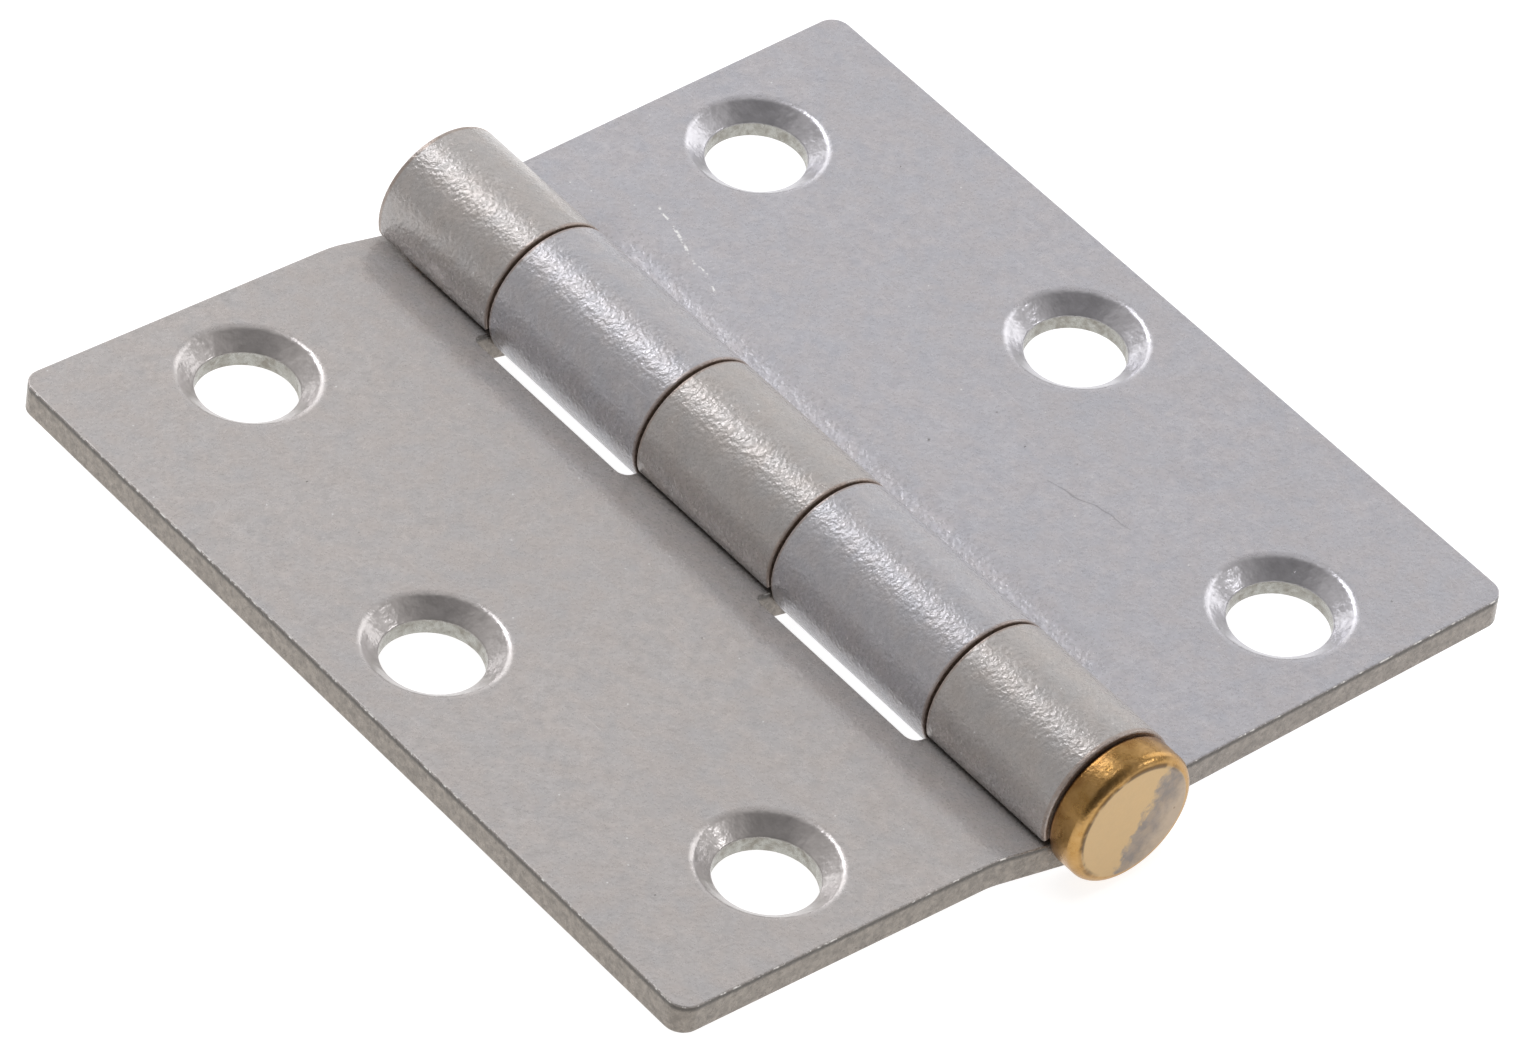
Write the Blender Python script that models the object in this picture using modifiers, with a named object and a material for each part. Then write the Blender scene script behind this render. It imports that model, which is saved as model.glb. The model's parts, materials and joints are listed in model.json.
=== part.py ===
"""Loose-pin door hinge, 3 in x 3 in: two steel leaves with rolled knuckles and a headed brass-coloured pin.

Every piece hangs from one empty on the pin's axis. In its frame, X crosses the leaves, Y runs along
the pin towards its plain end, and Z points out of the countersunk faces. Each leaf has an empty of its
own on that axis, and the leaf is drawn level there. The hinge lies open a little short of flat.
"""

import math

import bmesh
import bpy

MM = 0.001

# Leaves
LEAF_LENGTH = 76.2 * MM
OPEN_WIDTH = 76.2 * MM
SHEET = 2.55 * MM
LEAF_TOP_BELOW_AXIS = 1.1 * MM
LEAF_CORNER_RADIUS = 1.5 * MM
LEAF_RISE = math.radians(1.585)

# Barrel
KNUCKLE_RADIUS = 5.67 * MM
KNUCKLE_GAP = 0.36 * MM
OUTER_SPLIT = 25.0 * MM
INNER_SPLIT = 7.65 * MM
NOTCH_REACH = 7.0 * MM
NOTCH_FILLET = 0.7 * MM
CURL_END_ANGLE = math.radians(199)
SWAGE_SLOPE = math.radians(12)
SWAGE_BEND_RADIUS = 8.0 * MM

# Screw holes
BORE_RADIUS = 3.85 * MM
COUNTERSINK_RADIUS = 5.4 * MM
COUNTERSINK_DEPTH = 1.25 * MM
HOLE_SPACING = 59.6 * MM
OUTER_HOLE_FROM_AXIS = 23.7 * MM
MIDDLE_HOLE_FROM_AXIS = 29.8 * MM

# Pin
PIN_RADIUS = 3.0 * MM
PIN_TIP_CHAMFER = 0.9 * MM
PIN_TIP_INSET = 0.8 * MM
HEAD_RADIUS = 5.5 * MM
HEAD_THICKNESS = 2.6 * MM
HEAD_GAP = 0.3 * MM
HEAD_FRONT_ROUND = 0.7 * MM
HEAD_BACK_ROUND = 0.35 * MM

# Fineness of the curved faces
CURL_STEPS = 48
BEND_STEPS = 4
CORNER_STEPS = 6
HOLE_STEPS = 48
PIN_STEPS = 48

HALF_LENGTH = LEAF_LENGTH / 2
HALF_WIDTH = OPEN_WIDTH / 2
CURL_RADIUS = KNUCKLE_RADIUS - SHEET / 2
SHEET_MID_Z = -(LEAF_TOP_BELOW_AXIS + SHEET / 2)


def clear_scene():
    for obj in list(bpy.data.objects):
        bpy.data.objects.remove(obj)
    for collection in list(bpy.data.collections):
        bpy.data.collections.remove(collection)


def new_collection(name):
    collection = bpy.data.collections.new(name)
    bpy.context.scene.collection.children.link(collection)
    return collection


def new_material(name, colour, roughness, metallic):
    material = bpy.data.materials.new(name)
    material.use_nodes = True
    shader = material.node_tree.nodes["Principled BSDF"]
    shader.inputs["Base Color"].default_value = (*colour, 1.0)
    shader.inputs["Roughness"].default_value = roughness
    shader.inputs["Metallic"].default_value = metallic
    material.diffuse_color = (*colour, 1.0)
    return material


def mesh_object(name, mesh, collection, parent):
    obj = bpy.data.objects.new(name, mesh)
    collection.objects.link(obj)
    obj.parent = parent
    return obj


def hide_cutter(obj):
    obj.hide_render = True
    obj.display_type = "WIRE"


def sheet_path(side):
    """Mid-line of the bent sheet in XZ: flat leaf, swage down to the barrel, then the curl round the pin."""
    tangent_angle = math.radians(270) - SWAGE_SLOPE
    meet = (-SHEET_MID_Z - CURL_RADIUS / math.cos(SWAGE_SLOPE)) / math.tan(SWAGE_SLOPE)
    bend = SWAGE_BEND_RADIUS * math.tan(SWAGE_SLOPE / 2)
    path = [(-HALF_WIDTH - SHEET, SHEET_MID_Z)]
    for step in range(BEND_STEPS + 1):
        angle = SWAGE_SLOPE * step / BEND_STEPS
        x = meet - bend + SWAGE_BEND_RADIUS * math.sin(angle)
        z = SHEET_MID_Z - SWAGE_BEND_RADIUS * (1 - math.cos(angle))
        path.append((x, z))
    angles = [tangent_angle, (tangent_angle + math.radians(270)) / 2]
    sweep = math.radians(90) + CURL_END_ANGLE
    for step in range(CURL_STEPS + 1):
        angles.append(math.radians(270) + sweep * step / CURL_STEPS)
    for angle in angles:
        path.append((CURL_RADIUS * math.cos(angle), CURL_RADIUS * math.sin(angle)))
    return [(-side * x, z) for x, z in path]


def rolled_sheet(name, side, collection, parent):
    """The bent sheet before blanking, as an open surface along Y that Solidify thickens."""
    bm = bmesh.new()
    reach = HALF_LENGTH + SHEET
    path = sheet_path(side)
    front = [bm.verts.new((x, -reach, z)) for x, z in path]
    edges = [bm.edges.new(pair) for pair in zip(front, front[1:])]
    swept = bmesh.ops.extrude_edge_only(bm, edges=edges)["geom"]
    back = [item for item in swept if isinstance(item, bmesh.types.BMVert)]
    bmesh.ops.translate(bm, verts=back, vec=(0, 2 * reach, 0))
    bmesh.ops.recalc_face_normals(bm, faces=bm.faces)
    mesh = bpy.data.meshes.new(name)
    bm.to_mesh(mesh)
    bm.free()
    obj = mesh_object(name, mesh, collection, parent)
    thicken = obj.modifiers.new("Sheet thickness", "SOLIDIFY")
    thicken.thickness = SHEET
    thicken.offset = 0.0
    thicken.use_even_offset = True
    return obj


def rounded_outline(corners):
    """Points of a closed outline whose corners, given as (x, y, radius), are replaced by arcs."""
    points = []
    count = len(corners)
    for index, (x, y, radius) in enumerate(corners):
        if radius == 0:
            points.append((x, y))
            continue
        before = corners[index - 1]
        after = corners[(index + 1) % count]
        start_way = math.atan2(before[1] - y, before[0] - x)
        end_way = math.atan2(after[1] - y, after[0] - x)
        start = (x + radius * math.cos(start_way), y + radius * math.sin(start_way))
        centre = (start[0] + radius * math.cos(end_way), start[1] + radius * math.sin(end_way))
        for step in range(CORNER_STEPS + 1):
            turn = math.radians(90) * step / CORNER_STEPS
            towards_start = -math.cos(turn)
            towards_end = -math.sin(turn)
            px = centre[0] + radius * (towards_start * math.cos(end_way) + towards_end * math.cos(start_way))
            py = centre[1] + radius * (towards_start * math.sin(end_way) + towards_end * math.sin(start_way))
            points.append((px, py))
    return points


def knuckle_spans(three_knuckles):
    """Y ranges of one leaf's knuckles, each end half a running gap short of its split."""
    half_gap = KNUCKLE_GAP / 2
    if three_knuckles:
        return [
            (-HALF_LENGTH, -OUTER_SPLIT - half_gap),
            (-INNER_SPLIT + half_gap, INNER_SPLIT - half_gap),
            (OUTER_SPLIT + half_gap, HALF_LENGTH),
        ]
    return [
        (-OUTER_SPLIT + half_gap, -INNER_SPLIT - half_gap),
        (INNER_SPLIT + half_gap, OUTER_SPLIT - half_gap),
    ]


def blank_corners(side, three_knuckles):
    """Corners of the leaf's blank seen from above: rounded outer corners, and a notch between knuckles."""
    outer = side * HALF_WIDTH
    notch = side * NOTCH_REACH
    past_barrel = -side * (KNUCKLE_RADIUS + SHEET)
    corners = [(outer, HALF_LENGTH, LEAF_CORNER_RADIUS), (outer, -HALF_LENGTH, LEAF_CORNER_RADIUS)]
    if not three_knuckles:
        corners.append((notch, -HALF_LENGTH, 0))
    for low, high in knuckle_spans(three_knuckles):
        if low > -HALF_LENGTH:
            corners.append((notch, low, NOTCH_FILLET))
        corners.append((past_barrel, low, 0))
        corners.append((past_barrel, high, 0))
        if high < HALF_LENGTH:
            corners.append((notch, high, NOTCH_FILLET))
    if not three_knuckles:
        corners.append((notch, HALF_LENGTH, 0))
    return corners


def blank_prism(name, side, three_knuckles, collection, parent):
    """The blank's outline as a tall prism, made from a flat curve."""
    curve = bpy.data.curves.new(name, "CURVE")
    curve.dimensions = "2D"
    curve.fill_mode = "BOTH"
    curve.extrude = 2 * KNUCKLE_RADIUS
    spline = curve.splines.new("POLY")
    points = rounded_outline(blank_corners(side, three_knuckles))
    spline.points.add(len(points) - 1)
    for point, (x, y) in zip(spline.points, points):
        point.co = (x, y, 0, 1)
    spline.use_cyclic_u = True
    guide = bpy.data.objects.new(name + "_curve", curve)
    collection.objects.link(guide)
    bpy.context.view_layer.update()
    graph = bpy.context.evaluated_depsgraph_get()
    mesh = bpy.data.meshes.new_from_object(guide.evaluated_get(graph))
    bm = bmesh.new()
    bm.from_mesh(mesh)
    bmesh.ops.remove_doubles(bm, verts=bm.verts, dist=0.01 * MM)
    bmesh.ops.recalc_face_normals(bm, faces=bm.faces)
    bm.to_mesh(mesh)
    bm.free()
    bpy.data.objects.remove(guide)
    prism = mesh_object(name, mesh, collection, parent)
    hide_cutter(prism)
    return prism


def turned(name, profile, steps, collection, parent):
    """A solid turned about its own Z from a profile of (radius, z) that runs top to bottom."""
    mesh = bpy.data.meshes.new(name)
    points = [(radius, 0, z) for radius, z in profile]
    mesh.from_pydata(points, [(i, i + 1) for i in range(len(points) - 1)], [])
    obj = mesh_object(name, mesh, collection, parent)
    screw = obj.modifiers.new("Turn", "SCREW")
    screw.steps = steps
    screw.render_steps = steps
    screw.use_merge_vertices = True
    screw.merge_threshold = 0.01 * MM
    return obj


def hole_places(side):
    return [
        (side * OUTER_HOLE_FROM_AXIS, HOLE_SPACING / 2),
        (side * MIDDLE_HOLE_FROM_AXIS, 0.0),
        (side * OUTER_HOLE_FROM_AXIS, -HOLE_SPACING / 2),
    ]


def drill(leaf, side, collection, parent):
    """Cuts the three countersunk screw holes."""
    top = 1.0 * MM
    flare = (COUNTERSINK_RADIUS - BORE_RADIUS) / COUNTERSINK_DEPTH
    profile = [
        (0, top),
        (COUNTERSINK_RADIUS + flare * top, top),
        (BORE_RADIUS, -COUNTERSINK_DEPTH),
        (BORE_RADIUS, -SHEET - top),
        (0, -SHEET - top),
    ]
    for number, (x, y) in enumerate(hole_places(side), start=1):
        name = f"{leaf.name}_hole_{number}"
        cutter = turned(name, profile, HOLE_STEPS, collection, parent)
        cutter.location = (x, y, -LEAF_TOP_BELOW_AXIS)
        hide_cutter(cutter)
        cut = leaf.modifiers.new(f"Screw hole {number}", "BOOLEAN")
        cut.operation = "DIFFERENCE"
        cut.object = cutter


def new_empty(name, collection, parent=None):
    empty = bpy.data.objects.new(name, None)
    collection.objects.link(empty)
    empty.parent = parent
    return empty


def make_leaf(name, side, three_knuckles, material, parts, cutters, pin_axis):
    axis = new_empty(name + "_swing", parts, pin_axis)
    axis.rotation_euler = (0, -side * LEAF_RISE, 0)
    leaf = rolled_sheet(name, side, parts, axis)
    prism = blank_prism(name + "_blank", side, three_knuckles, cutters, axis)
    blank = leaf.modifiers.new("Blank outline", "BOOLEAN")
    blank.operation = "INTERSECT"
    blank.object = prism
    drill(leaf, side, cutters, axis)
    leaf.data.materials.append(material)
    leaf.data.shade_smooth()
    leaf.data.set_sharp_from_angle(angle=math.radians(30))
    return leaf


def arc_points(centre_radius, centre_z, radius, start, end, steps):
    points = []
    for step in range(steps + 1):
        angle = math.radians(start + (end - start) * step / steps)
        points.append((centre_radius + radius * math.cos(angle), centre_z + radius * math.sin(angle)))
    return points


def make_pin(name, material, parts, axis):
    """The loose pin, turned about its own Z with the head at the top, then laid along the barrel."""
    head_front = HALF_LENGTH + HEAD_GAP + HEAD_THICKNESS
    head_back = HALF_LENGTH + HEAD_GAP
    tip = -HALF_LENGTH + PIN_TIP_INSET
    front = arc_points(
        HEAD_RADIUS - HEAD_FRONT_ROUND, head_front - HEAD_FRONT_ROUND, HEAD_FRONT_ROUND, 90, 0, 6
    )
    back = arc_points(
        HEAD_RADIUS - HEAD_BACK_ROUND, head_back + HEAD_BACK_ROUND, HEAD_BACK_ROUND, 0, -90, 3
    )
    shank = [
        (PIN_RADIUS, head_back),
        (PIN_RADIUS, tip + PIN_TIP_CHAMFER),
        (PIN_RADIUS - PIN_TIP_CHAMFER, tip),
        (0, tip),
    ]
    pin = turned(name, [(0, head_front)] + front + back + shank, PIN_STEPS, parts, axis)
    pin.rotation_euler = (math.radians(90), 0, 0)
    pin.data.materials.append(material)
    pin.data.shade_smooth()
    return pin


def main():
    clear_scene()
    parts = new_collection("door_hinge")
    cutters = new_collection("door_hinge_cutters")
    axis = new_empty("pin_axis", parts)
    axis.location = (0, (HEAD_GAP + HEAD_THICKNESS) / 2, KNUCKLE_RADIUS)
    warm_steel = new_material("three_knuckle_leaf_steel", (0.42, 0.41, 0.40), 0.5, 0.9)
    cool_steel = new_material("two_knuckle_leaf_steel", (0.43, 0.43, 0.45), 0.5, 0.9)
    brass = new_material("pin_brass", (0.76, 0.53, 0.24), 0.25, 1.0)
    make_leaf("three_knuckle_leaf", -1, True, warm_steel, parts, cutters, axis)
    make_leaf("two_knuckle_leaf", 1, False, cool_steel, parts, cutters, axis)
    make_pin("loose_pin", brass, parts, axis)


main()
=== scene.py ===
"""The looks of a loose-pin door hinge: two tumbled steel leaves and a brass-coloured pin.

Each leaf is built the way it is made. A flat blank gets its outline, its rounded edges and its
countersunk holes, and then the whole blank is bent: level leaf, swage down to the barrel, curl round
the pin. Lengths are millimetres until a mesh is stored, and every piece is drawn around the pin's axis.
"""

import json
import math

import bpy
import numpy as np
from mathutils import Matrix, Vector
from mathutils.geometry import delaunay_2d_cdt


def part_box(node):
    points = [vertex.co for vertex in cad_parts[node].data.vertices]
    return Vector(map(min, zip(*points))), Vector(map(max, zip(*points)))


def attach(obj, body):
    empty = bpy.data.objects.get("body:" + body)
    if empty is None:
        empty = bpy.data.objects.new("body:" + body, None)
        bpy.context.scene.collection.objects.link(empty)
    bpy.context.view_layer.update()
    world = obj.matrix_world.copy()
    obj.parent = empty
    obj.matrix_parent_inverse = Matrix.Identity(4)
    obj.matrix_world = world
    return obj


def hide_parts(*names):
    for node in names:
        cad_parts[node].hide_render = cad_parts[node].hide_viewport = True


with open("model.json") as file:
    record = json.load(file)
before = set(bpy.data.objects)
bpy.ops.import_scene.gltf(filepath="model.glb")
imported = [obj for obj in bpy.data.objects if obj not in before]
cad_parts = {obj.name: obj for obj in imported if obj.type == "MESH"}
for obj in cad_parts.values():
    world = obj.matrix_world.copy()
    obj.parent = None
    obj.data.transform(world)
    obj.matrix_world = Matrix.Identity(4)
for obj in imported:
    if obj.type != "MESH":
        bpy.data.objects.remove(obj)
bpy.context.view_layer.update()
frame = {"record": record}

MM = 0.001

# From the frame: the pin's axis, the barrel's radius and the leaves' length
AXIS = Vector(frame["record"]["behaviour"]["joints"][0]["pos_m"])
KNUCKLE_RADIUS = AXIS.z / MM
LEAF_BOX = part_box("three_knuckle_leaf")
HALF_LENGTH = (LEAF_BOX[1].y - LEAF_BOX[0].y) / MM / 2
HEAD_FRONT = (AXIS.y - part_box("loose_pin")[0].y) / MM
PIN_TIP = (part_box("loose_pin")[1].y - AXIS.y) / MM

# Leaves
SHEET = 2.55
HALF_SHEET = SHEET / 2
LEAF_TOP_BELOW_AXIS = 1.1
LEAF_REACH = 38.1
LEAF_CORNER_RADIUS = 1.5
LEAF_RISE = math.radians(1.585)
SWAGE_SLOPE = math.radians(12)
SWAGE_BEND_RADIUS = 8.0
CURL_END_ANGLE = math.radians(-19)
TOP_EDGE_ROUND = 0.12
BACK_EDGE_ROUND = 0.15

# Barrel
KNUCKLE_GAP = 0.26
OUTER_SPLIT = 25.0
INNER_SPLIT = 7.65
NOTCH_REACH = 7.0
NOTCH_FILLET = 0.8
KNUCKLE_CORNER_RADIUS = 0.4
LEVEL_TAB_RUN = 7.0

# Screw holes
BORE_RADIUS = 3.85
COUNTERSINK_RADIUS = 5.4
COUNTERSINK_DEPTH = 1.25
COUNTERSINK_LIP = 1.0
BORE_LIP = 0.3
HOLES = [(23.7, 29.8), (29.8, 0.0), (23.7, -29.8)]

# Pin
PIN_RADIUS = 3.0
HEAD_RADIUS = 5.5
HEAD_THICKNESS = 2.85
HEAD_FRONT_ROUND = 0.8
HEAD_BACK_ROUND = 0.5
TIP_CHAMFER = 0.9

# The room is dark behind the camera, and pale elsewhere
CAMERA_SIDE = (-0.52, -0.53, 0.67)
PALE_ROOM = (1.0, 0.955, 0.91, 1.0)
DARK_ROOM = (0.24, 0.225, 0.215, 1.0)
ROOM_STRENGTH = 0.43

# Colours of the steel and of the marks on it
WARM_LIGHT = (0.525, 0.502, 0.50)
WARM_DARK = (0.44, 0.42, 0.415)
WARM_EDGE = (0.345, 0.305, 0.265)
COOL_LIGHT = (0.53, 0.525, 0.56)
COOL_DARK = (0.445, 0.44, 0.475)
COOL_EDGE = (0.35, 0.31, 0.275)
WARM_TINT = (1.0, 0.965, 0.935)
COOL_TINT = (0.93, 0.955, 0.98)
GRAIN_TINT = (1.1, 1.1, 1.1)
# Painted shade that darkens the barrel
BARREL_SHADE = (0.94, 0.94, 0.93)
DARK_PIT = (0.12, 0.11, 0.1)
# Painted glints: small bright dots
GLINT_DOT = (0.85, 0.85, 0.85)
BRIGHT_SCRATCH = (0.95, 0.95, 0.95)
# Painted highlight on burrs along the top edges
BURR_HIGHLIGHT = (0.95, 0.93, 0.9)
RUSTY_RIM = (0.34, 0.25, 0.2)
RUSTY_EDGE = (0.33, 0.24, 0.19)
BORE_LIGHT = (0.52, 0.52, 0.48)
BORE_DARK = (0.3, 0.28, 0.24)

# Colours of the brass
RIM_DARK = (0.40, 0.225, 0.07)
RIM_LIGHT = (0.53, 0.325, 0.13)
# Darker brown of the rim towards its back
RIM_BACK_DARK = (0.24, 0.105, 0.03)
FACE_DARK = (0.56, 0.39, 0.20)
FACE_LIGHT = (0.61, 0.43, 0.225)
STAIN_DARK = (0.22, 0.20, 0.195)
STAIN_LIGHT = (0.33, 0.27, 0.22)
STAIN_FADED = (0.46, 0.37, 0.29)
# Painted shade along the face's edge
BRASS_EDGE_SHADE = (0.12, 0.07, 0.03)
BRASS_SPECK = (0.14, 0.09, 0.04)

# Noise runs askew to the hinge, so that no face lies along its lattice
PATTERN_TILT = (0.7, 0.45, 0.9)

# Single marks on the two-knuckle leaf, in millimetres from the pin's axis and the barrel's middle
BRIGHT_SCRATCHES = [((13.3, 28.5), (10.9, 18.5))]
DARK_SCRATCHES = [((18.2, -10.3), (19.8, -17.7))]

# Fineness
CURL_STEP = 0.26
ROW_STEP = 1.25
FLAT_STEP = 2.0
CORNER_STEPS = 8
EDGE_STEPS = 4
HOLE_STEPS = 96
PIN_STEPS = 128
SAME_POINT = 1e-7

# The bent sheet's mid-line: where its level part, swage bend, slope and curl start and end
MID_Z = -(LEAF_TOP_BELOW_AXIS + HALF_SHEET)
CURL_RADIUS = KNUCKLE_RADIUS - HALF_SHEET
SLOPE_FOOT = (CURL_RADIUS / math.cos(SWAGE_SLOPE) + MID_Z) / math.tan(SWAGE_SLOPE)
BEND_START = SLOPE_FOOT + SWAGE_BEND_RADIUS * math.tan(SWAGE_SLOPE / 2)
BEND_END = BEND_START - SWAGE_BEND_RADIUS * SWAGE_SLOPE
BEND_END_X = BEND_START - SWAGE_BEND_RADIUS * math.sin(SWAGE_SLOPE)
BEND_END_Z = MID_Z - SWAGE_BEND_RADIUS * (1 - math.cos(SWAGE_SLOPE))
CURL_START_ANGLE = math.radians(270) + SWAGE_SLOPE
CURL_START_X = CURL_RADIUS * math.cos(CURL_START_ANGLE)
CURL_START = BEND_END - (BEND_END_X - CURL_START_X) / math.cos(SWAGE_SLOPE)
CURL_END = CURL_START - CURL_RADIUS * (CURL_START_ANGLE - CURL_END_ANGLE)
NOTCH = CURL_START + (NOTCH_REACH - CURL_START_X) / math.cos(SWAGE_SLOPE)


# ---------------------------------------------------------------- shapes


def bend(u):
    """Where the blank's line u ends up: its mid-line point (x, z) and the sheet's upward normal."""
    if u >= BEND_START:
        return (u, MID_Z), (0.0, 1.0)
    if u >= BEND_END:
        turn = (BEND_START - u) / SWAGE_BEND_RADIUS
        x = BEND_START - SWAGE_BEND_RADIUS * math.sin(turn)
        z = MID_Z - SWAGE_BEND_RADIUS * (1 - math.cos(turn))
        return (x, z), (-math.sin(turn), math.cos(turn))
    if u >= CURL_START:
        run = BEND_END - u
        x = BEND_END_X - run * math.cos(SWAGE_SLOPE)
        z = BEND_END_Z - run * math.sin(SWAGE_SLOPE)
        return (x, z), (-math.sin(SWAGE_SLOPE), math.cos(SWAGE_SLOPE))
    angle = CURL_START_ANGLE - (CURL_START - u) / CURL_RADIUS
    cos, sin = math.cos(angle), math.sin(angle)
    return (CURL_RADIUS * cos, CURL_RADIUS * sin), (-cos, -sin)


def bent_sheet(u, y, level_ends):
    """bend(u), and the mid-line's slope along Y.

    With level_ends the swage fades out beyond the outer splits. The two-knuckle leaf has no knuckle
    at its ends, and its sheet stays level there.
    """
    (x, z), (lift_x, lift_z) = bend(u)
    if not level_ends or abs(y) <= OUTER_SPLIT:
        return (x, z), (lift_x, lift_z), 0.0
    run = min(1.0, (abs(y) - OUTER_SPLIT) / LEVEL_TAB_RUN)
    level = run * run * (3 - 2 * run)
    slope = (MID_Z - z) * 6 * run * (1 - run) / LEVEL_TAB_RUN * math.copysign(1.0, y)
    x += level * (u - x)
    z += level * (MID_Z - z)
    lift_x *= 1 - level
    lift_z += level * (1 - lift_z)
    return (x, z), (lift_x, lift_z), slope


def rounded_path(corners, steps):
    """Samples round the corners (x, y, radius) of a path, each with its unit normal to the right."""
    samples = []
    for before, corner, after in zip(corners, corners[1:], corners[2:]):
        at = Vector(corner[:2])
        way_in = (at - Vector(before[:2])).normalized()
        way_out = (Vector(after[:2]) - at).normalized()
        turn = way_in.angle_signed(way_out)
        radius = corner[2]
        start = at - way_in * radius * math.tan(abs(turn) / 2)
        side = math.copysign(1.0, -turn)
        right_in = Vector((way_in.y, -way_in.x))
        centre = start - right_in * radius * side
        for step in range(steps + 1):
            spin = Matrix.Rotation(-turn * step / steps, 2)
            right = spin @ right_in
            samples.append((centre + right * radius * side, right))
    return samples


def knuckle_spans(three_knuckles):
    half_gap = KNUCKLE_GAP / 2
    if three_knuckles:
        return [
            (-HALF_LENGTH, -OUTER_SPLIT - half_gap),
            (-INNER_SPLIT + half_gap, INNER_SPLIT - half_gap),
            (OUTER_SPLIT + half_gap, HALF_LENGTH),
        ]
    return [
        (-OUTER_SPLIT + half_gap, -INNER_SPLIT - half_gap),
        (INNER_SPLIT + half_gap, OUTER_SPLIT - half_gap),
    ]


def blank_corners(three_knuckles):
    """Corners (u, y, radius) of the flat blank, anticlockwise from the outer corner at the pin's head."""
    corners = [
        (LEAF_REACH, -HALF_LENGTH, LEAF_CORNER_RADIUS),
        (LEAF_REACH, HALF_LENGTH, LEAF_CORNER_RADIUS),
    ]
    if not three_knuckles:
        corners.append((NOTCH, HALF_LENGTH, KNUCKLE_CORNER_RADIUS))
    for low, high in reversed(knuckle_spans(three_knuckles)):
        if high < HALF_LENGTH:
            corners.append((NOTCH, high, NOTCH_FILLET))
        corners.append((CURL_END, high, KNUCKLE_CORNER_RADIUS))
        corners.append((CURL_END, low, KNUCKLE_CORNER_RADIUS))
        if low > -HALF_LENGTH:
            corners.append((NOTCH, low, NOTCH_FILLET))
    if not three_knuckles:
        corners.append((NOTCH, -HALF_LENGTH, KNUCKLE_CORNER_RADIUS))
    return corners


def grid_lines():
    """Places along the blank with a line of mesh points: close together where the sheet bends."""
    lines = []
    stretches = [
        (CURL_END, CURL_START, CURL_STEP),
        (CURL_START, BEND_END, FLAT_STEP),
        (BEND_END, BEND_START, 2 * CURL_STEP),
        (BEND_START, LEAF_REACH, FLAT_STEP),
    ]
    for low, high, step in stretches:
        count = round((high - low) / step)
        lines += [low + (high - low) * i / count for i in range(count)]
    return lines


def blank_outline(corners, lines):
    """The blank's outline as (point, inward normal) pairs, anticlockwise, on every grid line."""
    arcs = []
    count = len(corners)
    for i, corner in enumerate(corners):
        arc = rounded_path([corners[i - 1], corner, corners[(i + 1) % count]], CORNER_STEPS)
        arcs.append([(point, -right) for point, right in arc])
    outline = []
    for i, arc in enumerate(arcs):
        outline += arc
        start, inward = arc[-1]
        end = arcs[(i + 1) % count][0][0]
        if abs(end.y - start.y) > abs(end.x - start.x):
            steps = max(1, round((end - start).length / ROW_STEP))
            outline += [(start.lerp(end, k / steps), inward) for k in range(1, steps)]
            continue
        low, high = sorted((start.x, end.x))
        between = [u for u in lines if low + CURL_STEP / 3 < u < high - CURL_STEP / 3]
        if end.x < start.x:
            between.reverse()
        outline += [(Vector((u, start.y)), inward) for u in between]
    return outline


def hole_outline(centre):
    """A bore as (point, direction into the sheet) pairs, clockwise so that the sheet is on the left."""
    pairs = []
    for step in range(HOLE_STEPS):
        angle = -2 * math.pi * step / HOLE_STEPS
        away = Vector((math.cos(angle), math.sin(angle)))
        pairs.append((Vector(centre) + away * BORE_RADIUS, away))
    return pairs


def sheared_profile():
    """Section of the blank's edge as (inset, height, push, up, mask), from the top face to the back.

    push and up are the surface normal's shares into the sheet and towards its top face.
    """
    path = [
        (1, HALF_SHEET, 0),
        (0, HALF_SHEET, TOP_EDGE_ROUND),
        (0, -HALF_SHEET, BACK_EDGE_ROUND),
        (1, -HALF_SHEET, 0),
    ]
    section = []
    for (inset, height), right in rounded_path(path, EDGE_STEPS):
        section.append((inset, height, right.x, right.y, right.x**4))
    return section


def hole_profile():
    """Section of a countersunk hole, from the top face's soft lip to the back."""
    flare = COUNTERSINK_RADIUS - BORE_RADIUS
    path = [
        (flare + 2, HALF_SHEET, 0),
        (flare, HALF_SHEET, COUNTERSINK_LIP),
        (0, HALF_SHEET - COUNTERSINK_DEPTH, BORE_LIP),
        (0, -HALF_SHEET, TOP_EDGE_ROUND),
        (1, -HALF_SHEET, 0),
    ]
    section = []
    for (inset, height), right in rounded_path(path, EDGE_STEPS):
        section.append((inset, height, right.x, right.y, min(1.0, 10 * (1 - right.y))))
    return section


def inside(points, loop):
    """Which points lie inside a closed loop, by counting crossings."""
    within = np.zeros(len(points), bool)
    for (x0, y0), (x1, y1) in zip(loop, np.roll(loop, -1, axis=0)):
        if y0 == y1:
            continue
        spans = (points[:, 1] < y0) != (points[:, 1] < y1)
        crossing = x0 + (points[:, 1] - y0) * (x1 - x0) / (y1 - y0)
        within ^= spans & (points[:, 0] < crossing)
    return within


def inner_points(lines, spans, hole_reach):
    """Grid points of a face that are clear of its outline and its holes."""
    rows = np.arange(-HALF_LENGTH + ROW_STEP, HALF_LENGTH, ROW_STEP)
    clear = ROW_STEP / 2
    points = []
    for u in lines:
        for y in rows:
            on_leaf = NOTCH + clear < u < LEAF_REACH - clear and abs(y) < HALF_LENGTH - clear
            on_knuckle = CURL_END + 4 * BACK_EDGE_ROUND < u < NOTCH + 2 * clear and any(
                low + clear < y < high - clear for low, high in spans
            )
            if not (on_leaf or on_knuckle):
                continue
            if all(math.hypot(u - hu, y - hy) > hole_reach + clear for hu, hy in HOLES):
                points.append((u, y))
    return points


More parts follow.
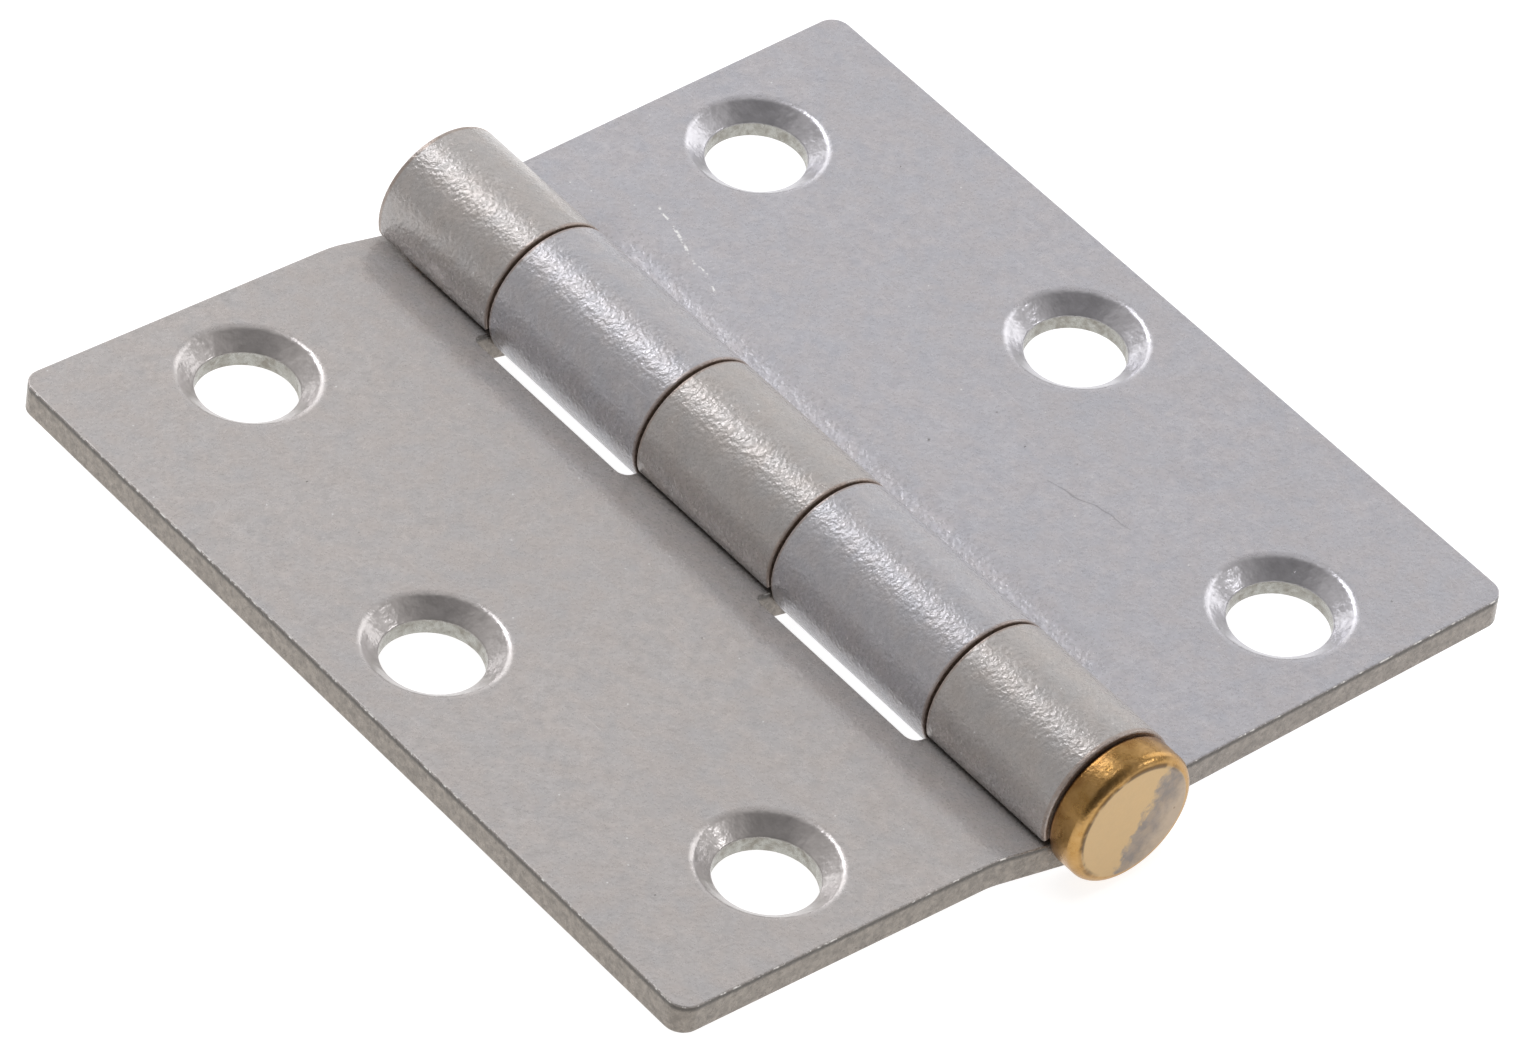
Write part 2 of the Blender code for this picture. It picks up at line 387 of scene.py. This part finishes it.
class Blank:
    """The mesh of a leaf's blank, filled point by point in blank coordinates (u, y, height)."""

    def __init__(self):
        self.places = []
        self.normals = []
        self.masks = []
        self.faces = []

    def add(self, point, height, inward, push, up, sheared, coined):
        self.places.append((point[0], point[1], height))
        self.normals.append((push * inward[0], push * inward[1], up))
        self.masks.append((sheared, coined))
        return len(self.places) - 1

    def wall(self, pairs, profile, coined):
        """Sweeps a section round a loop. Returns its first and last rows of points."""
        rows = []
        for inset, height, push, up, mask in profile:
            sheared = 0.0 if coined else mask
            row = [
                self.add(point + inward * inset, height, inward, push, up, sheared, mask * coined)
                for point, inward in pairs
            ]
            rows.append(row)
        for above, below in zip(rows, rows[1:]):
            for i in range(len(above)):
                k = (i + 1) % len(above)
                self.faces.append((above[i], below[i], below[k], above[k]))
        return rows[0], rows[-1]

    def face(self, loops, grid, height, up):
        """Fills between an outline and its holes with triangles through the grid's points."""
        index = [i for loop in loops for i in loop]
        edges = []
        for loop in loops:
            start = len(edges)
            edges += [(start + i, start + (i + 1) % len(loop)) for i in range(len(loop))]
        index += [self.add(point, height, (0, 0), 0, up, 0.0, 0.0) for point in grid]
        flat = [self.places[i][:2] for i in index]
        filled = delaunay_2d_cdt([Vector(p) for p in flat], edges, [], 0, SAME_POINT)
        verts, _, triangles, sources, _, _ = filled
        centres = np.array([sum((verts[i] for i in t), Vector((0, 0))) / 3 for t in triangles])
        kept = np.ones(len(triangles), bool)
        for number, loop in enumerate(loops):
            within = inside(centres, np.array([self.places[i][:2] for i in loop]))
            kept &= within if number == 0 else ~within
        for triangle, keep in zip(triangles, kept):
            if keep:
                ordered = triangle if up > 0 else reversed(triangle)
                self.faces.append(tuple(index[sources[i][0]] for i in ordered))


def leaf_mesh(name, side, three_knuckles):
    """The bent leaf at its rest angle round the pin's axis: at +X if side is 1, at -X if it is -1."""
    lines = grid_lines()
    spans = knuckle_spans(three_knuckles)
    blank = Blank()
    outer = blank.wall(blank_outline(blank_corners(three_knuckles), lines), sheared_profile(), 0.0)
    bores = [blank.wall(hole_outline(place), hole_profile(), 1.0) for place in HOLES]
    tops, backs = zip(outer, *bores)
    top_grid = inner_points(lines, spans, COUNTERSINK_RADIUS + COUNTERSINK_LIP)
    back_grid = inner_points(lines, spans, BORE_RADIUS + TOP_EDGE_ROUND)
    blank.face(tops, top_grid, HALF_SHEET, 1)
    blank.face(backs, back_grid, -HALF_SHEET, -1)
    rise = Matrix.Rotation(-side * LEAF_RISE, 3, "Y")
    points = []
    normals = []
    for (u, y, height), (nu, ny, up) in zip(blank.places, blank.normals):
        (x, z), (lift_x, lift_z), slope = bent_sheet(u, y, not three_knuckles)
        point = Vector((side * (x + height * lift_x), y, z + height * lift_z))
        points.append(rise @ point * MM)
        normal = Vector((side * (nu * lift_z + up * lift_x), ny - up * slope, -nu * lift_x + up * lift_z))
        normals.append(rise @ normal.normalized())
    faces = blank.faces if side > 0 else [face[::-1] for face in blank.faces]
    mesh = bpy.data.meshes.new(name)
    mesh.from_pydata(points, [], faces)
    mesh.shade_smooth()
    mesh.normals_split_custom_set_from_vertices(normals)
    masks = np.array(blank.masks, np.float32)
    for column, label in enumerate(("sheared", "coined")):
        attribute = mesh.attributes.new(label, "FLOAT", "POINT")
        attribute.data.foreach_set("value", np.ascontiguousarray(masks[:, column]))
    heights = np.array([place[2] for place in blank.places], np.float32)
    mesh.attributes.new("height", "FLOAT", "POINT").data.foreach_set("value", heights / HALF_SHEET)
    reach = np.array([place[0] for place in blank.places], np.float32)
    mesh.attributes.new("reach", "FLOAT", "POINT").data.foreach_set("value", reach)
    return mesh


def place_leaf(name, side, three_knuckles, body, node, material):
    leaf = bpy.data.objects.new(name, leaf_mesh(name, side, three_knuckles))
    bpy.context.scene.collection.objects.link(leaf)
    leaf.location = AXIS
    leaf.data.materials.append(material)
    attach(leaf, body)
    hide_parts(node)
    return leaf


def pin_profile():
    """Half section of the pin as (radius, height towards the head's front), from face to tip."""
    head_back = HEAD_FRONT - HEAD_THICKNESS
    path = [
        (0, HEAD_FRONT, 0),
        (HEAD_RADIUS, HEAD_FRONT, HEAD_FRONT_ROUND),
        (HEAD_RADIUS, head_back, HEAD_BACK_ROUND),
        (PIN_RADIUS, head_back, 0.1),
        (PIN_RADIUS, TIP_CHAMFER - PIN_TIP, 0.3),
        (PIN_RADIUS - TIP_CHAMFER, -PIN_TIP, 0.3),
        (0, -PIN_TIP, 0),
    ]
    samples = [tuple(point) for point, _ in rounded_path(path, 10)]
    face_edge = HEAD_RADIUS - HEAD_FRONT_ROUND
    face = [(0, HEAD_FRONT), (face_edge * 0.5, HEAD_FRONT), (face_edge * 0.97, HEAD_FRONT)]
    tip = [((PIN_RADIUS - TIP_CHAMFER) * 0.9, -PIN_TIP), (0, -PIN_TIP)]
    return face + samples + tip


def make_pin(material):
    profile = pin_profile()
    mesh = bpy.data.meshes.new("pin")
    points = [(radius * MM, 0, height * MM) for radius, height in profile]
    mesh.from_pydata(points, [(i, i + 1) for i in range(len(points) - 1)], [])
    pin = bpy.data.objects.new("brass_pin", mesh)
    bpy.context.scene.collection.objects.link(pin)
    turn = pin.modifiers.new("Turn", "SCREW")
    turn.steps = PIN_STEPS
    turn.render_steps = PIN_STEPS
    turn.use_merge_vertices = True
    turn.merge_threshold = 0.001 * MM
    pin.location = AXIS
    pin.rotation_euler = (math.radians(90), 0, 0)
    mesh.materials.append(material)
    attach(pin, "pin")
    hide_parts("loose_pin")
    return pin


# ---------------------------------------------------------------- materials


class Nodes:
    """Adds nodes to one material with little code: a node's inputs are numbers, colours or sockets."""

    def __init__(self, name):
        self.material = bpy.data.materials.new(name)
        self.material.use_nodes = True
        self.tree = self.material.node_tree
        self.shader = self.tree.nodes["Principled BSDF"]
        self.coordinates = self.tree.nodes.new("ShaderNodeTexCoord").outputs["Object"]
        tilt = self.add("Mapping", Vector=self.coordinates, Rotation=PATTERN_TILT)
        self.tilted = tilt.outputs[0]

    def put(self, socket, value):
        if isinstance(value, bpy.types.NodeSocket):
            self.tree.links.new(value, socket)
        else:
            socket.default_value = value

    def add(self, kind, settings=None, **inputs):
        node = self.tree.nodes.new("ShaderNode" + kind)
        for key, value in (settings or {}).items():
            setattr(node, key, value)
        for key, value in inputs.items():
            by_number = key[0] == "i" and key[1:].isdigit()
            self.put(node.inputs[int(key[1:]) if by_number else key], value)
        return node

    def math(self, operation, a, b=0.5, c=0.5):
        return self.add("Math", {"operation": operation}, i0=a, i1=b, i2=c).outputs[0]

    def vector(self, operation, a, b):
        return self.add("VectorMath", {"operation": operation}, i0=a, i1=b)

    def noise(self, size, detail=3.0, roughness=0.55):
        """Noise between 0 and 1 whose features are about size millimetres across."""
        node = self.add(
            "TexNoise",
            Vector=self.tilted,
            Scale=1 / (size * MM),
            Detail=detail,
            Roughness=roughness,
        )
        return node.outputs["Fac"]

    def ramp(self, value, low, high, from_value=0.0, to_value=1.0):
        """value stretched so that low gives from_value and high gives to_value, held at both ends."""
        ends = {"i1": low, "i2": high, "i3": from_value, "i4": to_value}
        return self.add("MapRange", {"clamp": True}, i0=value, **ends).outputs[0]

    def specks(self, size, radius, share, seed):
        """Small round specks: 1 in a share of the cells of a size-millimetre lattice, 0 elsewhere."""
        moved = self.vector("ADD", self.tilted, (seed, seed, seed)).outputs[0]
        cells = self.add("TexVoronoi", Vector=moved, Scale=1 / (size * MM))
        wide = self.add("SeparateColor", i0=cells.outputs["Color"]).outputs[0]
        chosen = self.math("LESS_THAN", wide, share)
        dot = self.ramp(cells.outputs["Distance"], radius / size, 0.4 * radius / size)
        return self.math("MULTIPLY", dot, chosen)

    def scratches(self, angle, size, length, limit, seed):
        """Hair-thin marks in one direction of the leaf's plane, where a stretched noise is over limit."""
        turned = self.add(
            "Mapping",
            Vector=self.coordinates,
            Location=(seed, seed * 2, 0),
            Rotation=(0, 0, math.radians(angle)),
            Scale=(1 / size / MM, 1 / length / MM, 1 / length / MM),
        ).outputs[0]
        line = self.add("TexNoise", Vector=turned, Scale=1.0, Detail=1.0).outputs["Fac"]
        return self.ramp(line, limit, limit + 0.03)

    def line_mark(self, start, end, width):
        """1 along a straight line in the leaf's plane, from start to end in millimetres."""
        start, end = Vector(start) * MM, Vector(end) * MM
        along = (end - start).normalized()
        offset = self.vector("SUBTRACT", self.coordinates, (*start, 0)).outputs[0]
        run = self.vector("DOT_PRODUCT", offset, (*along, 0)).outputs[1]
        aside = self.vector("DOT_PRODUCT", offset, (-along.y, along.x, 0)).outputs[1]
        aside = self.math("ADD", aside, self.ramp(self.noise(2.5, 1.0), 0.2, 0.8, -0.5 * MM, 0.5 * MM))
        thin = self.ramp(self.math("ABSOLUTE", aside), width * MM, 0.5 * width * MM)
        length = (end - start).length
        past_start = self.math("GREATER_THAN", run, 0.0)
        before_end = self.math("LESS_THAN", run, length)
        return self.math("MULTIPLY", thin, self.math("MULTIPLY", past_start, before_end))

    def mix(self, share, first, second, blend="MIX"):
        node = self.add("Mix", {"data_type": "RGBA", "blend_type": blend})
        self.put(node.inputs[0], share)
        for socket, value in zip((node.inputs[6], node.inputs[7]), (first, second)):
            self.put(socket, value if isinstance(value, bpy.types.NodeSocket) else (*value, 1.0))
        return node.outputs[2]

    def attribute(self, name):
        return self.add("Attribute", {"attribute_name": name}).outputs["Fac"]

    def bump(self, height, distance, strength=1.0, below=None):
        node = self.add("Bump", Height=height, Distance=distance * MM, Strength=strength)
        if below is not None:
            self.put(node.inputs["Normal"], below)
        return node.outputs["Normal"]

    def finish(self, colour, roughness, metallic, normal):
        self.put(self.shader.inputs["Base Color"], colour)
        self.put(self.shader.inputs["Roughness"], roughness)
        self.put(self.shader.inputs["Metallic"], metallic)
        self.put(self.shader.inputs["Normal"], normal)
        return self.material


def tinted(colour, share):
    return tuple(min(1.0, share * c) for c in colour)


def tumbled_colour(n, light, dark, grain, reach):
    """The tumbled grain in two greys, with wide clouds, warm and cool tints, and painted shade that
    darkens the barrel.
    """
    mottle = n.ramp(n.noise(0.9, 3.0, 0.6), 0.3, 0.7)
    colour = n.mix(mottle, dark, light)
    cloud = n.ramp(n.noise(8.0, 3.0), 0.35, 0.65, 0.0, 0.8)
    colour = n.mix(cloud, colour, tinted(light, 0.9))
    warm = n.ramp(n.noise(1.8, 2.0), 0.42, 0.6, 0.0, 0.6)
    colour = n.mix(warm, colour, WARM_TINT, "MULTIPLY")
    cool = n.ramp(n.noise(3.1, 3.0), 0.48, 0.66, 0.0, 0.6)
    colour = n.mix(cool, colour, COOL_TINT, "MULTIPLY")
    colour = n.mix(n.ramp(grain, 0.3, 0.7), colour, GRAIN_TINT, "MULTIPLY")
    # Painted shade: the knuckles are darkened a little, so that the barrel looks less brightly lit than
    # the leaves
    barrel = n.ramp(reach, NOTCH + 1.0, NOTCH - 3.0)
    return n.mix(barrel, colour, BARREL_SHADE, "MULTIPLY")


def scuffed(n, colour, light, dark, pits, scored, dented):
    """colour with hair scratches, dark pits, bright dots of painted glint and the leaf's single long
    marks.
    """
    one_way = n.scratches(25, 0.12, 6.0, 0.74, 0.3)
    other_way = n.scratches(-62, 0.1, 5.0, 0.75, 1.7)
    marks = n.math("MAXIMUM", one_way, other_way)
    colour = n.mix(n.math("MULTIPLY", marks, 0.4), colour, tinted(light, 1.4))
    colour = n.mix(n.math("MULTIPLY", pits, 0.6), colour, DARK_PIT)
    # Painted highlights: small bright glint dots scattered over the steel
    glint_dots = n.specks(1.1, 0.09, 0.16, 7.7)
    colour = n.mix(glint_dots, colour, GLINT_DOT)
    broken = n.ramp(n.noise(0.5, 2.0), 0.48, 0.56)
    for start, end in scored:
        line = n.math("MULTIPLY", n.line_mark(start, end, 0.12), broken)
        colour = n.mix(line, colour, BRIGHT_SCRATCH)
    for start, end in dented:
        line = n.math("MULTIPLY", n.line_mark(start, end, 0.07), 0.5)
        colour = n.mix(line, colour, tinted(dark, 0.35))
    return colour


def shade_beside_barrel(n, colour, dark, reach):
    """colour with a thin, uneven painted shade beside the barrel, in the crease where the leaf meets it.
    """
    wander = n.ramp(n.noise(1.5, 3.0), 0.3, 0.7, -1.2, 1.2)
    crease_shade = n.ramp(n.math("ADD", reach, wander), NOTCH + 2.5, NOTCH - 0.2)
    crease_shade = n.math("MULTIPLY", crease_shade, n.math("GREATER_THAN", reach, NOTCH - 1.0))
    return n.mix(n.math("MULTIPLY", crease_shade, 0.06), colour, tinted(dark, 0.45))


def knuckle_rims(n, reach):
    """1 on the knuckles close to a split or to the barrel's ends, unevenly, and 0 elsewhere."""
    y = n.add("SeparateXYZ", i0=n.coordinates).outputs[1]
    along = n.math("ABSOLUTE", y)
    outer = n.math("ABSOLUTE", n.math("SUBTRACT", along, OUTER_SPLIT * MM))
    inner = n.math("ABSOLUTE", n.math("SUBTRACT", along, INNER_SPLIT * MM))
    tip = n.math("ABSOLUTE", n.math("SUBTRACT", along, HALF_LENGTH * MM))
    nearest = n.math("MINIMUM", n.math("MINIMUM", outer, inner), tip)
    rim = n.ramp(nearest, 0.42 * MM, 0.32 * MM)
    rim = n.math("MULTIPLY", rim, n.math("LESS_THAN", reach, CURL_START))
    return n.math("MULTIPLY", rim, n.ramp(n.noise(1.2, 3.0), 0.25, 0.5, 0.3, 1.0))


def sheared_edges(n, colour, edge, sheared, height, rim):
    """colour with brown sheared edges, a dark line under the top edge, and painted highlights of burrs on
    it.
    """
    stain = n.ramp(n.noise(0.6, 4.0, 0.75), 0.38, 0.62)
    edge_colour = n.mix(stain, edge, tinted(edge, 0.6))
    under_lip = n.math("MULTIPLY", n.ramp(height, 0.55, 0.75), n.ramp(height, 0.98, 0.88))
    edge_colour = n.mix(n.math("MULTIPLY", under_lip, 0.85), edge_colour, tinted(edge, 0.15))
    edge_colour = n.mix(n.math("MULTIPLY", rim, 0.8), edge_colour, RUSTY_EDGE)
    colour = n.mix(sheared, colour, edge_colour)
    # Painted highlights: bright specks along the top edge where burrs catch the light, more of them at
    # the knuckles' rims
    burr_highlight_noise = n.math("SUBTRACT", n.noise(0.7, 3.0, 0.7), n.math("MULTIPLY", rim, -0.12))
    burr_highlight = n.math("MULTIPLY", n.ramp(height, 0.88, 0.94), n.ramp(burr_highlight_noise, 0.54, 0.6))
    burr_highlight = n.math("MULTIPLY", burr_highlight, n.ramp(sheared, 0.05, 0.3))
    return n.mix(burr_highlight, colour, BURR_HIGHLIGHT)


def pressed_holes(n, colour, light, coined, bore):
    """colour with pale pressed countersinks, and mottled bores below them."""
    pressed = n.mix(n.ramp(n.noise(1.0, 3.0), 0.35, 0.65), tinted(light, 1.0), tinted(light, 1.2))
    colour = n.mix(coined, colour, pressed)
    bore_colour = n.mix(n.ramp(n.noise(0.7, 4.0, 0.7), 0.4, 0.65), BORE_LIGHT, BORE_DARK)
    return n.mix(bore, colour, bore_colour)


def steel(name, light, dark, edge, scored=(), dented=()):
    """Tumbled steel: a mottled matte grain, brown edges, burnished countersinks, scratches and pits."""
    n = Nodes(name)
    sheared = n.attribute("sheared")
    coined = n.attribute("coined")
    height = n.attribute("height")
    reach = n.attribute("reach")
    grain = n.noise(0.32, 2.0, 0.5)
    pits = n.math("MAXIMUM", n.specks(2.4, 0.16, 0.1, 3.1), n.specks(1.3, 0.09, 0.05, 5.3))
    rim = knuckle_rims(n, reach)
    bore_top = 1 - COUNTERSINK_DEPTH / HALF_SHEET
    bore = n.math("MULTIPLY", coined, n.ramp(height, bore_top + 0.02, bore_top - 0.08))

    colour = tumbled_colour(n, light, dark, grain, reach)
    colour = scuffed(n, colour, light, dark, pits, scored, dented)
    # Painted shade in the crease beside the barrel
    colour = shade_beside_barrel(n, colour, dark, reach)
    colour = n.mix(n.math("MULTIPLY", rim, 0.6), colour, RUSTY_RIM)
    colour = sheared_edges(n, colour, edge, sheared, height, rim)
    colour = pressed_holes(n, colour, light, coined, bore)

    # The pressed countersinks are smoother and more metallic than the rest
    smooth = n.math("SUBTRACT", coined, bore)
    on_knuckle = n.ramp(reach, NOTCH + 2.0, NOTCH - 4.0, 0.55, 1.0)
    rough = n.math("MULTIPLY", on_knuckle, n.math("SUBTRACT", 1.0, smooth))
    patchy = n.ramp(n.noise(0.35, 2.0, 0.5), 0.3, 0.7, -0.07, 0.11)
    roughness = n.math("ADD", 0.28, n.math("MULTIPLY", rough, patchy))
    metallic = n.math("ADD", 0.36, n.math("MULTIPLY", smooth, 0.3))
    normal = n.bump(n.math("MULTIPLY", grain, rough), 0.06)
    normal = n.bump(n.noise(0.9, 2.0), 0.025, 1.0, normal)
    normal = n.bump(n.math("MULTIPLY", n.noise(0.7, 2.0), smooth), 0.05, 1.0, normal)
    normal = n.bump(pits, -0.05, 1.0, normal)
    return n.finish(colour, roughness, metallic, normal)


def brass(name):
    """A brass-coloured pin: a golden rim, browner at its back, and a tan face with one grey stain."""
    n = Nodes(name)
    place = n.add("SeparateXYZ", i0=n.coordinates).outputs
    mottle = n.ramp(n.noise(0.9, 4.0, 0.65), 0.3, 0.7)
    flat = n.add("CombineXYZ", X=place[0], Y=place[1], Z=0.0).outputs[0]
    radius = n.add("VectorMath", {"operation": "LENGTH"}, i0=flat).outputs[1]
    face_radius = (HEAD_RADIUS - HEAD_FRONT_ROUND) * MM
    on_front = n.math("GREATER_THAN", place[2], (HEAD_FRONT - 0.3) * MM)
    face = n.math("MULTIPLY", on_front, n.ramp(radius, face_radius + 0.12 * MM, face_radius - 0.02 * MM))
    rim_colour = n.mix(mottle, RIM_DARK, RIM_LIGHT)
    face_colour = n.mix(mottle, FACE_DARK, FACE_LIGHT)
    head_back = HEAD_FRONT - HEAD_THICKNESS
    # The rim gets darker and browner towards its back, next to the barrel
    toward_back = n.math("ADD", place[2], n.ramp(n.noise(1.3, 3.0), 0.3, 0.7, -0.5 * MM, 0.5 * MM))
    toward_back = n.ramp(toward_back, (head_back + 1.3) * MM, (head_back + 0.3) * MM, 0.0, 0.6)
    rim_colour = n.mix(toward_back, rim_colour, RIM_BACK_DARK)
    colour = n.mix(face, rim_colour, face_colour)

    # The stain covers the face's lower right, up to an uneven line
    slant = n.math("SUBTRACT", n.math("MULTIPLY", place[0], 0.9), n.math("MULTIPLY", place[1], 0.44))
    slant = n.math("ADD", slant, n.ramp(n.noise(1.4, 4.0, 0.65), 0.25, 0.75, -0.9 * MM, 0.9 * MM))
    stain = n.math("MULTIPLY", face, n.ramp(slant, 0.6 * MM, 1.2 * MM))
    stain_colour = n.mix(n.ramp(n.noise(1.1, 3.0), 0.4, 0.6), STAIN_DARK, STAIN_LIGHT)
    stain_colour = n.mix(n.ramp(slant, 2.2 * MM, 4.0 * MM), stain_colour, STAIN_FADED)
    colour = n.mix(n.math("MULTIPLY", stain, 0.9), colour, stain_colour)

    # Painted shade: a dark line where the rim meets the face, fading out towards the face's lower right;
    # and dark specks
    ring_middle = n.math("ABSOLUTE", n.math("SUBTRACT", radius, face_radius + 0.08 * MM))
    ring_shade = n.math("MULTIPLY", on_front, n.ramp(ring_middle, 0.28 * MM, 0.12 * MM))
    ring_shade = n.math("MULTIPLY", ring_shade, n.ramp(n.noise(1.5, 3.0), 0.35, 0.5, 0.2, 0.9))
    ring_shade = n.math("MULTIPLY", ring_shade, n.ramp(n.math("SUBTRACT", place[1], place[0]), -1.5 * MM, 1.5 * MM))
    colour = n.mix(ring_shade, colour, BRASS_EDGE_SHADE)
    specks = n.math("MAXIMUM", n.specks(1.6, 0.12, 0.3, 2.3), n.specks(0.9, 0.05, 0.25, 4.1))
    colour = n.mix(n.math("MULTIPLY", specks, 0.55), colour, BRASS_SPECK)

    roughness = n.math("ADD", n.ramp(mottle, 0.0, 1.0, 0.24, 0.36), n.math("MULTIPLY", face, 0.16))
    metallic = n.math("SUBTRACT", 1.0, n.math("MULTIPLY", face, 0.35))
    normal = n.bump(n.noise(0.3, 3.0), 0.03)
    return n.finish(colour, roughness, metallic, normal)


def pale_floor():
    n = Nodes("pale_floor")
    shader = n.shader
    shader.inputs["Base Color"].default_value = (0.45, 0.45, 0.45, 1.0)
    shader.inputs["Roughness"].default_value = 0.9
    shader.inputs["Emission Color"].default_value = (1.0, 1.0, 1.0, 1.0)
    shader.inputs["Emission Strength"].default_value = 0.85
    return n.material


# ---------------------------------------------------------------- stage


def make_floor():
    bpy.ops.mesh.primitive_plane_add(size=6.0, location=(0, 0, 0))
    floor = bpy.context.object
    floor.name = "floor"
    floor.data.materials.append(pale_floor())


def aim(obj, place, target):
    obj.location = place
    obj.rotation_euler = (Vector(target) - Vector(place)).to_track_quat("-Z", "Y").to_euler()


def softbox(name, azimuth, elevation, distance, width, height, radiance, colour=(1, 1, 1)):
    """A soft light in the given direction from the hinge. Azimuth 0 is towards +Y, 90 towards +X."""
    light = bpy.data.lights.new(name, "AREA")
    light.shape = "RECTANGLE"
    light.size = width
    light.size_y = height
    light.energy = math.pi * radiance * width * height
    light.color = colour
    lamp = bpy.data.objects.new(name, light)
    bpy.context.scene.collection.objects.link(lamp)
    a, e = math.radians(azimuth), math.radians(elevation)
    way = Vector((math.sin(a) * math.cos(e), math.cos(a) * math.cos(e), math.sin(e)))
    aim(lamp, AXIS + way * distance, AXIS)
    lamp.visible_camera = False
    return lamp


def make_lights():
    world = bpy.data.worlds.new("studio")
    bpy.context.scene.world = world
    world.use_nodes = True
    background = world.node_tree.nodes["Background"]
    direction = world.node_tree.nodes.new("ShaderNodeTexCoord").outputs["Generated"]
    towards = world.node_tree.nodes.new("ShaderNodeVectorMath")
    towards.operation = "DOT_PRODUCT"
    towards.inputs[1].default_value = CAMERA_SIDE
    world.node_tree.links.new(direction, towards.inputs[0])
    shade = world.node_tree.nodes.new("ShaderNodeValToRGB")
    shade.color_ramp.elements[0].position = 0.55
    shade.color_ramp.elements[0].color = PALE_ROOM
    shade.color_ramp.elements[1].position = 0.9
    shade.color_ramp.elements[1].color = DARK_ROOM
    world.node_tree.links.new(towards.outputs[1], shade.inputs[0])
    world.node_tree.links.new(shade.outputs[0], background.inputs["Color"])
    background.inputs["Strength"].default_value = ROOM_STRENGTH
    softbox("low_back", 12, 23, 0.95, 0.5, 0.55, 1.45)
    glint = softbox("glint", 131, 26, 0.95, 0.12, 0.12, 16.0)
    glint.visible_diffuse = False
    softbox("strip", -5, 46, 0.95, 0.28, 0.5, 4.8, (0.98, 0.98, 1.0))
    softbox("right_strip", 86, 24, 0.9, 0.5, 0.7, 1.6)
    softbox("back_panel", 48, 30, 1.2, 0.9, 0.9, 0.38, (0.96, 0.98, 1.0))
    overhead = softbox("overhead", 20, 85, 0.95, 0.6, 0.6, 2.75, (0.97, 0.98, 1.0))
    overhead.visible_glossy = False


def make_camera():
    """The photograph's view: from the head's end of the barrel, over the three-knuckle leaf."""
    azimuth, elevation, roll = math.radians(-44.514), math.radians(42.291), math.radians(7.972)
    distance = 712.6 * MM
    target = AXIS + Vector((-2.519, -3.375, 0)) * MM
    back = Vector(
        (
            math.sin(azimuth) * math.cos(elevation),
            -math.cos(azimuth) * math.cos(elevation),
            math.sin(elevation),
        )
    )
    right = Vector((math.cos(azimuth), math.sin(azimuth), 0))
    up = back.cross(right)
    turned_right = right * math.cos(roll) + up * math.sin(roll)
    turned_up = up * math.cos(roll) - right * math.sin(roll)
    camera = bpy.data.objects.new("camera", bpy.data.cameras.new("camera"))
    camera.data.sensor_width = 36.0
    camera.data.lens = 234.76
    camera.data.clip_start = 0.05
    axes = Matrix((turned_right, turned_up, back)).transposed().to_4x4()
    camera.matrix_world = Matrix.Translation(target + back * distance) @ axes
    bpy.context.scene.collection.objects.link(camera)
    bpy.context.scene.camera = camera


bpy.context.scene.view_settings.view_transform = "Standard"
make_camera()
make_floor()
make_lights()
warm_steel = steel("warm_steel", WARM_LIGHT, WARM_DARK, WARM_EDGE)
cool_steel = steel("cool_steel", COOL_LIGHT, COOL_DARK, COOL_EDGE, BRIGHT_SCRATCHES, DARK_SCRATCHES)
place_leaf("leaf_a_rolled_steel", -1, True, "leaf_a", "three_knuckle_leaf", warm_steel)
place_leaf("leaf_b_rolled_steel", 1, False, "leaf_b", "two_knuckle_leaf", cool_steel)
make_pin(brass("pin_brass"))

bpy.context.view_layer.update()
